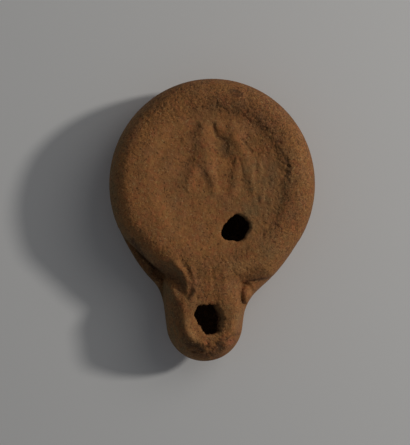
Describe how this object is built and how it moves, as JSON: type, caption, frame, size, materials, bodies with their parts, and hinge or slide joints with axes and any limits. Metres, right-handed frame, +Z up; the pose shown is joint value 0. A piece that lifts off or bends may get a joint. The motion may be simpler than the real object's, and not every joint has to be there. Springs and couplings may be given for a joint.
{
  "type": "roman oil lamp",
  "caption": "Round hollow fired clay oil lamp with a worn figure relief on its sunken discus, a filling hole, a short rounded nozzle with a wick hole, and a flat base.",
  "frame": {"origin": "middle of the flat base, which the lamp stands on", "axes": "+Z up, -Y along the nozzle, +X to the right seen from above with the nozzle towards the viewer"},
  "size_m": [0.0728, 0.1, 0.0256],
  "materials": {
    "fired_clay": "matte, grainy, worn and dirty orange brown fired clay"
  },
  "bodies": {
    "root": {"lamp_body": "fired_clay"}
  },
  "joints": []
}
